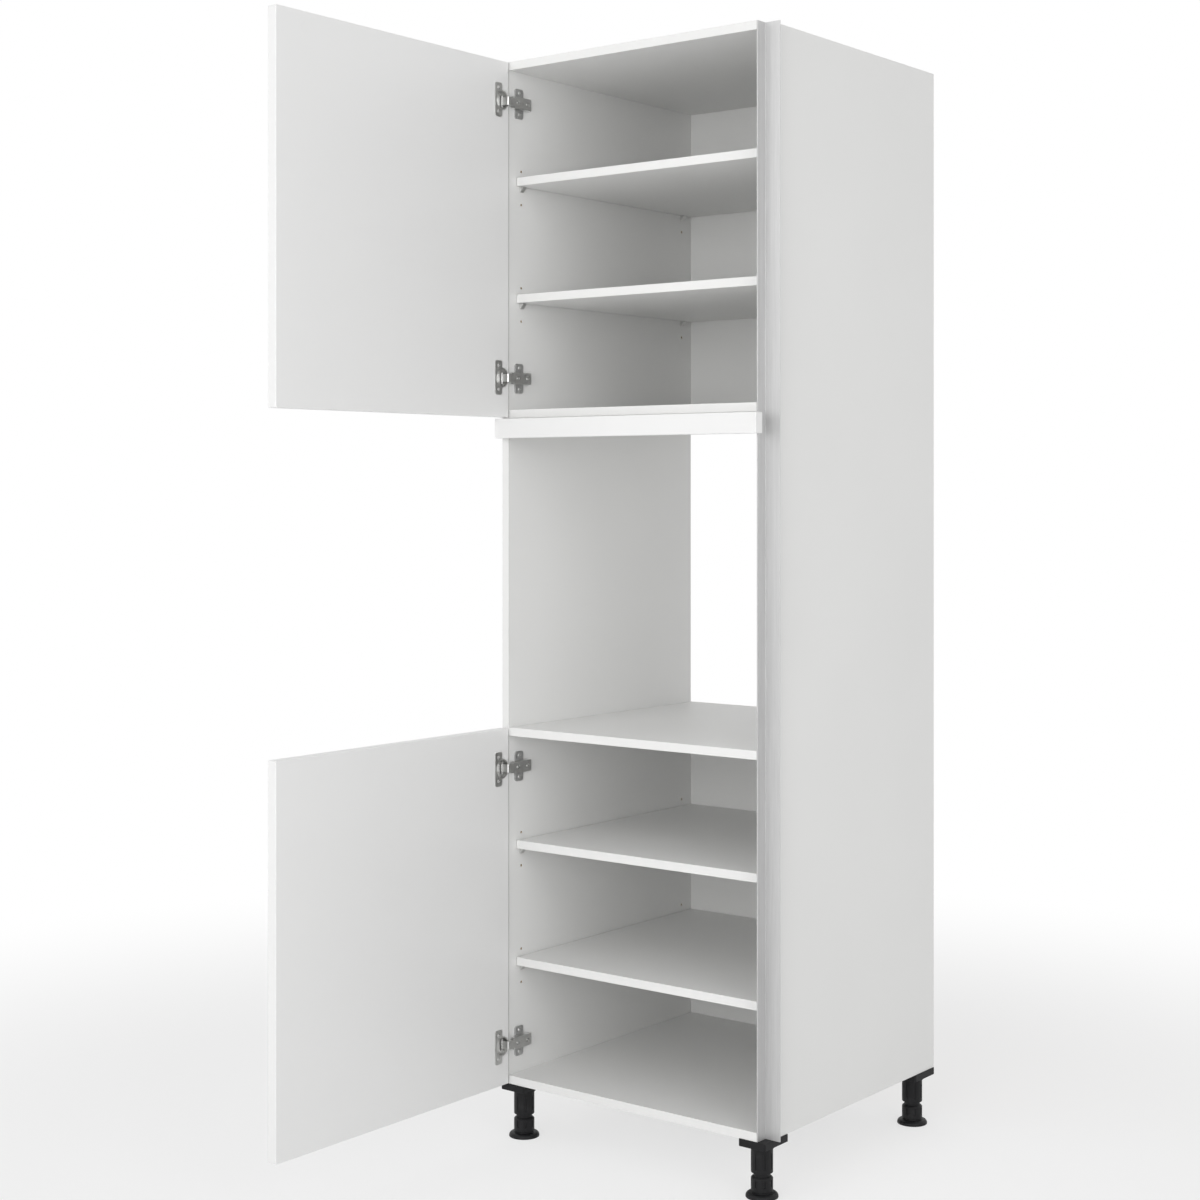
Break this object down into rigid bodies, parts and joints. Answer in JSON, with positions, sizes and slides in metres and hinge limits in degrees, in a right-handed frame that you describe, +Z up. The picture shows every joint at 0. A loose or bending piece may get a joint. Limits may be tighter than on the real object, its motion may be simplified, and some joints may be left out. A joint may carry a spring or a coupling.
{
  "type": "tall oven housing unit",
  "caption": "Tall white kitchen unit on black screw legs: open niche for a built-in oven between two shelved compartments with left-hinged doors, closing strip and grip profile.",
  "frame": {"origin": "middle of the floor rectangle under the whole unit as it is stored, with both doors open at a right angle", "axes": "+X to the right seen from the front, +Y from the front to the wall, +Z up"},
  "size_m": [0.618, 1.201, 2.055],
  "materials": {
    "coated_board": "white melamine-coated chipboard with plastic edging, matt",
    "satin_front": "white fronts, satin",
    "coated_hardboard": "white-faced hardboard, matt",
    "anodised_aluminium": "light grey, fine brushed and anodised",
    "nickel_plated_steel": "nickel plated, satin",
    "cast_zinc": "die-cast, nickel plated",
    "black_plastic": "black moulded plastic, fine grain"
  },
  "bodies": {
    "carcass": {"side_left": "coated_board", "side_right": "coated_board", "bottom_board": "coated_board", "niche_floor": "coated_board", "niche_ceiling": "coated_board", "top_board": "coated_board", "back_lower": "coated_hardboard", "back_upper": "coated_hardboard", "lower_shelf_1_support_left_front": "nickel_plated_steel", "lower_shelf_1_support_left_rear": "nickel_plated_steel", "lower_shelf_1_support_right_front": "nickel_plated_steel", "lower_shelf_1_support_right_rear": "nickel_plated_steel", "lower_shelf_2_support_left_front": "nickel_plated_steel", "lower_shelf_2_support_left_rear": "nickel_plated_steel", "lower_shelf_2_support_right_front": "nickel_plated_steel", "lower_shelf_2_support_right_rear": "nickel_plated_steel", "upper_shelf_1_support_left_front": "nickel_plated_steel", "upper_shelf_1_support_left_rear": "nickel_plated_steel", "upper_shelf_1_support_right_front": "nickel_plated_steel", "upper_shelf_1_support_right_rear": "nickel_plated_steel", "upper_shelf_2_support_left_front": "nickel_plated_steel", "upper_shelf_2_support_left_rear": "nickel_plated_steel", "upper_shelf_2_support_right_front": "nickel_plated_steel", "upper_shelf_2_support_right_rear": "nickel_plated_steel", "closing_strip": "satin_front", "strip_bracket_left": "nickel_plated_steel", "strip_bracket_right": "nickel_plated_steel", "grip_profile": "anodised_aluminium", "lower_door_bottom_hinge_arm": "nickel_plated_steel", "lower_door_top_hinge_arm": "nickel_plated_steel", "upper_door_bottom_hinge_arm": "nickel_plated_steel", "upper_door_top_hinge_arm": "nickel_plated_steel", "lower_door_bottom_hinge_plate": "cast_zinc", "lower_door_top_hinge_plate": "cast_zinc", "upper_door_bottom_hinge_plate": "cast_zinc", "upper_door_top_hinge_plate": "cast_zinc", "leg_front_left_socket": "black_plastic", "leg_front_right_socket": "black_plastic", "leg_rear_left_socket": "black_plastic", "leg_rear_right_socket": "black_plastic", "leg_front_left_tube": "black_plastic", "leg_front_right_tube": "black_plastic", "leg_rear_left_tube": "black_plastic", "leg_rear_right_tube": "black_plastic"},
    "lower_door": {"lower_door": "satin_front", "lower_door_bottom_hinge_cup": "nickel_plated_steel", "lower_door_top_hinge_cup": "nickel_plated_steel"},
    "upper_door": {"upper_door": "satin_front", "upper_door_bottom_hinge_cup": "nickel_plated_steel", "upper_door_top_hinge_cup": "nickel_plated_steel"},
    "lower_shelf_1": {"lower_shelf_1": "coated_board"},
    "lower_shelf_2": {"lower_shelf_2": "coated_board"},
    "upper_shelf_1": {"upper_shelf_1": "coated_board"},
    "upper_shelf_2": {"upper_shelf_2": "coated_board"},
    "foot_front_left": {"leg_front_left_foot": "black_plastic"},
    "foot_front_right": {"leg_front_right_foot": "black_plastic"},
    "foot_rear_left": {"leg_rear_left_foot": "black_plastic"},
    "foot_rear_right": {"leg_rear_right_foot": "black_plastic"}
  },
  "joints": [
    {"name": "lower_door_swing", "type": "hinge", "parent": "carcass", "child": "lower_door", "pos_m": [-0.29675, -0.01225, 0.445], "axis": [0, 0, -1], "range_deg": [-90, 5]},
    {"name": "upper_door_swing", "type": "hinge", "parent": "carcass", "child": "upper_door", "pos_m": [-0.29675, -0.01225, 1.715], "axis": [0, 0, -1], "range_deg": [-90, 5]},
    {"name": "lower_shelf_1_lift", "type": "slide", "parent": "carcass", "child": "lower_shelf_1", "axis": [0, 0, 1], "range_m": [0, 0.02]},
    {"name": "lower_shelf_2_lift", "type": "slide", "parent": "carcass", "child": "lower_shelf_2", "axis": [0, 0, 1], "range_m": [0, 0.02]},
    {"name": "upper_shelf_1_lift", "type": "slide", "parent": "carcass", "child": "upper_shelf_1", "axis": [0, 0, 1], "range_m": [0, 0.02]},
    {"name": "upper_shelf_2_lift", "type": "slide", "parent": "carcass", "child": "upper_shelf_2", "axis": [0, 0, 1], "range_m": [0, 0.02]},
    {"name": "foot_front_left_screw", "type": "slide", "parent": "carcass", "child": "foot_front_left", "axis": [0, 0, 1], "range_m": [-0.015, 0.005]},
    {"name": "foot_front_right_screw", "type": "slide", "parent": "carcass", "child": "foot_front_right", "axis": [0, 0, 1], "range_m": [-0.015, 0.005]},
    {"name": "foot_rear_left_screw", "type": "slide", "parent": "carcass", "child": "foot_rear_left", "axis": [0, 0, 1], "range_m": [-0.015, 0.005]},
    {"name": "foot_rear_right_screw", "type": "slide", "parent": "carcass", "child": "foot_rear_right", "axis": [0, 0, 1], "range_m": [-0.015, 0.005]}
  ]
}
